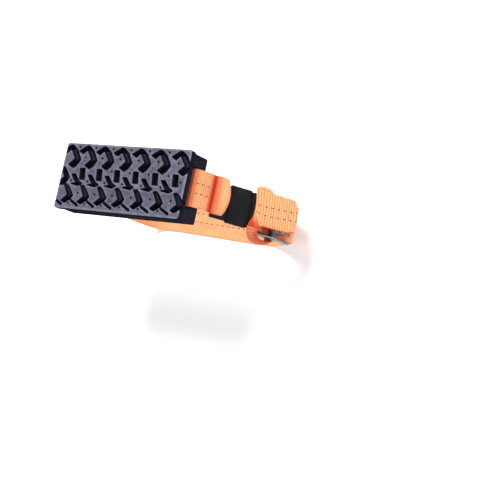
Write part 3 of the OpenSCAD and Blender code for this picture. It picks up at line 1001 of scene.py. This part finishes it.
# Its middle line, the way its ridge faces, half its width and half the angle that it arches.
CURL = [
    (64, -15.5, 3.6), (61.5, -21, 3.7), (60.4, -27, 3.7), (61.4, -33.0, 3.2), (66.0, -39.0, 0.8),
    (73.6, -41.4, -2.2), (81.8, -41.0, -4.8), (89.2, -38.2, -7.8), (94.5, -32.0, -10.8),
    (97, -24, -11.4), (98, -16, -11.4),
]
CURL_OUT = [
    (-0.1, -0.1, 1), (-0.2, -0.1, 1), (-0.3, -0.2, 1), (-0.4, -0.5, 1), (-0.2, -1.0, 0.9),
    (0.1, -1.4, 0.7), (0.4, -1.6, 0.4), (0.5, -1.6, -0.2), (0.4, -0.9, -1), (0.1, -0.2, -1),
    (0, 0, -1),
]
CURL_HALF = [6.0, 6.6, 7.2, 7.2, 6.8, 6.4, 6.2, 6.0, 6.0, 6.0, 6.0]
CURL_BEND = [0.2, 0.25, 0.35, 0.6, 1.0, 1.15, 1.15, 1.0, 0.8, 0.5, 0.3]
# Painted shade over the whole curl, deeper on its inner side and at its root.
CURL_SHADE, CURL_INNER_SHADE, CURL_ROOT_SHADE = 0.58, 0.3, 0.72


def curl_web():
    """Mid-surface of the curl: an arched strip, its ridge towards CURL_OUT."""
    keys = np.array(CURL)
    at = np.r_[0, np.cumsum(np.linalg.norm(np.diff(keys, axis=0), axis=1))]
    where = np.linspace(0, at[-1], int(at[-1] / ROW_STEP))
    line = spline(keys, at, where)
    out = spline(CURL_OUT, at, where)
    half = np.interp(where, at, CURL_HALF)
    ahead = unit(np.gradient(line, axis=0))
    out = unit(out - ahead * (out * ahead).sum(1)[:, None])
    side = np.cross(out, ahead)
    across = columns(11)
    most = np.interp(where, at, CURL_BEND)[:, None, None]
    bend = most * across[None, :, None]
    radius = half[:, None, None] / most
    rise = np.cos(bend) - np.cos(most * 0.6)
    arch = side[:, None] * np.sin(bend) * radius + out[:, None] * rise * radius
    return from_run(line[:, None] + arch), where, across


grid, along, across = curl_web()
inner_shade = smooth(-0.3, 0.8, across)[None, :] * smooth(10, 20, along)[:, None]
root_shade = CURL_ROOT_SHADE * smooth(15, 7, along)[:, None]
painted_shade = np.maximum(CURL_SHADE + CURL_INNER_SHADE * inner_shade, root_shade)
curl = web_object("orange_webbing_curl", grid, along, across, calm=0.5, fold=painted_shade)
dress(curl, "strapped_block", ORANGE, ["strap_tail"], 60)

# --- Dark dashes woven into the orange webbing ---

HEM_DASH, TAIL_DASH = 2.0, 8.5  # where the first dash of each web starts
IN_HEM = (16, HEM_DASH + 38)  # no dashes where the hem turns back
DASH_LIFT, DASH_R, DASH_FLAT = 0.92, 0.55, 0.45
paths = []
for lift in (DASH_LIFT, -DASH_LIFT):
    paths += dash_paths(*long_web_at, HEM_DASH, long_web_at[1][-1] - 6, lift, IN_HEM)
    paths += dash_paths(*tail_web_at, TAIL_DASH, tail_web_at[1][-1] - 6, lift)
dashes = new_object("webbing_dashes", *thread_bars(paths, DASH_R, DASH_FLAT))
dress(dashes, "strapped_block", DARK_THREAD)

# --- Black webbing round the anchor bar ---

BAR, BAR_LOOP_R = np.array([66.0, -4.2]), 4.1
BLACK_H, BLACK_INNER_H = -4.1, -6.3
arc = [BAR + BAR_LOOP_R * heading(math.radians(a)) for a in np.linspace(110, -110, 28)]
black_route = [(2, BLACK_H), (57, BLACK_H), *arc, (57, BLACK_INNER_H), (30, BLACK_INNER_H)]
line = np.array([run_point(*place)[:2] for place in black_route])
black_web = web_object("black_webbing_loop", *flat_web(line, BLACK_W, 9, BLACK_Y), relief=0.22)
dress(black_web, "strapped_block", BLACK_WEB, ["buckle_strap"], 60)

# --- Sewing ---

STITCH_PITCH, STITCH_L = 4.6, 3.0


def stitch_row(s, h, middle, half_w):
    """One row of stitches across the run, on a face that looks towards the tyre."""
    paths = []
    for y in np.arange(middle - half_w, middle + half_w - STITCH_L + 0.01, STITCH_PITCH):
        path = []
        for t in np.linspace(0, 1, 7):
            dip = 0.22 * (2 * t - 1) ** 4
            local = [s + 0.25 * (t - 0.5), y + STITCH_L * t, h - (0.12 - dip)]
            path.append((from_run(local), -OUT_OF_RUN))
        paths.append(path)
    return paths


for name, rows, h, middle, half_w, slot, material, node in (
    ("hem_sewing", (6, 10), -5.1, BLACK_Y, 20, "orange_thread", ORANGE_STITCH, "hem_stitches"),
    ("loop_sewing", (33, 36), -7.3, BLACK_Y, 20, "black_thread", BLACK_STITCH, "loop_stitches"),
    ("tail_sewing", (102, 104.5), 5.3, -2.5, 18, "orange_thread", ORANGE_STITCH, "tail_stitches"),
):
    paths = [path for s in rows for path in stitch_row(s, h, middle, half_w)]
    sewing = new_object(name, *thread_bars(paths, 0.25, 0.9))
    dress(sewing, "strapped_block", material, [node])

# --- Wear sleeve ---


def sleeve_web():
    """An open flat tube of cloth with folded-in cuffs and soft creases."""
    s0, s1, middle = 25.5, 53.5, -5.2
    half_h, half_y = 3.7, 24.6
    around = 120
    turn = np.arange(around) * 2 * math.pi / around
    stations = np.r_[s0, s0 + 0.25, np.linspace(s0 + 0.7, s1 - 0.7, 44), s1 - 0.25, s1]
    rng = np.random.default_rng(7)
    ranges = ((s0 + 4, s1 - 4), (-0.25, 0.25), (0.9, 1.8), (0, 6.3))
    creases = [tuple(rng.uniform(*ends) for ends in ranges) for _ in range(7)]
    y = np.sign(np.cos(turn)) * (half_y - half_h) * np.minimum(1, np.abs(np.cos(turn)) * 1.6)
    y = y + half_h * 0.96 * np.cos(turn)
    up = half_h * np.sin(turn) / np.maximum(np.abs(np.sin(turn)) ** 0.55, 0.05)
    hgt = np.clip(up, -half_h, half_h)
    n = unit(np.stack([y / half_y**2 * 6, hgt / half_h**2], axis=1))
    layers = []
    for inner in (False, True):
        rings = []
        for s in stations:
            lip = min(s - s0, s1 - s)
            cuff = 1 - float(smooth(3.6, 4.4, lip))
            wall = 0.5 * math.sqrt(max(0.0, 1 - (1 - min(1, lip / 0.7)) ** 2))
            fold = np.zeros(around)
            for cs, tilt, width, phase in creases:
                line = cs + tilt * y
                strength = 0.5 + 0.5 * np.sin(y * 0.12 + phase)
                fold -= 0.24 * strength * np.exp(-(((s - line) / width) ** 2))
            push = -0.5 + (-wall if inner else wall) + 0.12 * cuff + fold * (0.6 if inner else 1)
            push -= 0.1 * (not inner) * math.exp(-(((lip - 4.0) / 0.35) ** 2))
            ring_y, ring_h = BLACK_Y + y + n[:, 0] * push, middle + hgt + n[:, 1] * push
            rings.append(np.stack([np.full(around, s), ring_y, ring_h], axis=1))
        layers.append(rings)
    grid = np.array(layers[0] + layers[1][::-1]).reshape(-1, 3)
    total = len(grid)
    faces = []
    for a in range(0, total, around):
        faces += band(a, (a + around) % total, around)
    uv = grid[:, :2] * MM
    uv[:, 1] += 0.2 * (grid[:, 2] > middle)
    return new_object("black_sleeve", from_run(grid), faces, uv=uv)


sleeve = sleeve_web()
dress(sleeve, "sleeve", CLOTH, ["wear_sleeve"], 70)

# --- Buckle ---


def tube(points, radius):
    """A round wire along a smooth line of points."""
    around = 12
    pts = np.array(points, float)
    tangent = unit(np.gradient(pts, axis=0))
    side = unit(np.cross(tangent[0], [0.3, 0.2, 0.9]))
    vertices = []
    for p, t in zip(pts, tangent):
        side = unit(side - t * (side @ t))
        up = np.cross(t, side)
        for k in range(around):
            a = 2 * math.pi * k / around
            vertices.append(p + radius * (side * math.cos(a) + up * math.sin(a)))
    return vertices, tube_faces(0, len(pts), around)


CAM = np.array([92.0, 1.5])
COIL_R, COIL_PITCH, COIL_FIRST, COIL_TURNS, WIRE_R = 4.4, 1.05, 19.9, 4.0, 0.55
LEVER_REST, FRAME_STOP = np.array([106.0, 1.3]), np.array([81.7, -1.85])


def spring_line(mirror):
    """Coil round the cam pin, one leg under the thumb lever and one on the frame's stop."""

    def tangent_angle(point, sign):
        gap = point - CAM
        return math.atan2(gap[1], gap[0]) + sign * math.acos(COIL_R / np.hypot(*gap))

    a0, a1 = tangent_angle(LEVER_REST, -1), tangent_angle(FRAME_STOP, 1)
    sweep = (a0 - a1) % (2 * math.pi) + 2 * math.pi * (COIL_TURNS - 1)
    line = [(LEVER_REST[0], COIL_FIRST - 6.0 + t, LEVER_REST[1]) for t in np.arange(0, 5.4, 0.6)]
    for t in np.linspace(0.05, 1, 14):
        x, z = LEVER_REST + (CAM + COIL_R * heading(a0) - LEVER_REST) * t
        line.append((x, COIL_FIRST - 0.5 * (1 - min(1, t * 5)), z))
    steps = int(40 * COIL_TURNS)
    for i in range(1, steps + 1):
        x, z = CAM + COIL_R * heading(a0 - sweep * i / steps)
        line.append((x, COIL_FIRST + COIL_PITCH * COIL_TURNS * i / steps, z))
    end = np.array(line[-1])
    stop = np.array([FRAME_STOP[0], end[1], FRAME_STOP[1]])
    line = np.array(line + [end + (stop - end) * t for t in np.linspace(0.08, 1, 14)])
    line[:, 1] = BUCKLE_Y + line[:, 1] * mirror
    return from_run(line)


for name, mirror in (("cam_spring_upper", 1), ("cam_spring_lower", -1)):
    wire = new_object(name.replace("cam_", "wire_"), *tube(spring_line(mirror), WIRE_R))
    dress(wire, "cam", SPRING, [name], 50)


# The CAD's own pieces, with their sharp edges broken and a better material.
for name, material, bevel in (
    ("buckle_frame", STEEL, 0.35),
    ("anchor_bar", STEEL, 0.5),
    ("cam_pin", STEEL, 0.5),
    ("cam_lever", ZINC, 0.3),
):
    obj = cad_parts[name]
    for slot in obj.material_slots:
        slot.material = material
    weld = obj.modifiers.new("weld", "WELD")
    weld.merge_threshold = 1e-5
    edge = obj.modifiers.new("bevel", "BEVEL")
    edge.width, edge.segments, edge.limit_method = bevel * MM, 2, "ANGLE"
    edge.angle_limit = math.radians(35)
    even = obj.modifiers.new("even", "WEIGHTED_NORMAL")
    even.keep_sharp = True

# --- Floor, light and camera ---

MIDDLE = (cad_lo + cad_hi) / 2
FLOOR_AT, FLOOR_SIZE = (0, 0, cad_lo.z - 0.0002), 14.0
bpy.ops.mesh.primitive_grid_add(
    size=FLOOR_SIZE, x_subdivisions=4, y_subdivisions=4, location=FLOOR_AT
)
floor = bpy.context.object
floor.name = "floor"
paper = Shader("pale_floor", Roughness=0.9)
floor.data.materials.append(paper.set(Base_Color=rgb(244, 244, 246)))


def area_light(name, offset, size, power):
    """A round soft light at an offset from the object's middle, aimed at it."""
    data = bpy.data.lights.new(name, "AREA")
    data.shape, data.size, data.energy = "DISK", size, power
    light = bpy.data.objects.new(name, data)
    light.location = MIDDLE + Vector(offset)
    light.rotation_mode = "QUATERNION"
    light.rotation_quaternion = (MIDDLE - light.location).to_track_quat("-Z", "Y")
    bpy.context.scene.collection.objects.link(light)


area_light("key", (-0.15, 0.95, 1.25), 0.7, 34.0)
area_light("front", (1.5, -0.5, 0.9), 1.2, 16.0)
area_light("fill", (-1.2, -0.8, 1.0), 1.5, 8.0)
world = bpy.data.worlds.new("studio")
world.use_nodes = True
sky = world.node_tree.nodes["Background"].inputs
sky["Color"].default_value, sky["Strength"].default_value = (1, 1, 1, 1), 0.62
bpy.context.scene.world = world
bpy.context.scene.view_settings.view_transform = "Standard"

# The camera fitted to the photo: its place in metres, its axes and its lens in millimetres.
CAMERA_AT = Vector((1.008459, -0.269443, 1.216418))
RIGHT = Vector((0.82792, 0.19985, -0.52404))
UP = Vector((-0.09198, 0.97009, 0.22465))
BACK = Vector((0.55326, -0.13779, 0.82154))
camera_data = bpy.data.cameras.new("camera")
camera_data.lens, camera_data.sensor_width = 89.012, 36.0
camera_data.clip_start, camera_data.clip_end = 0.05, 30.0
camera = bpy.data.objects.new("camera", camera_data)
bpy.context.scene.collection.objects.link(camera)
axes = Matrix((RIGHT, UP, BACK)).transposed().to_4x4()
camera.matrix_world = Matrix.Translation(CAMERA_AT) @ axes
bpy.context.scene.camera = camera
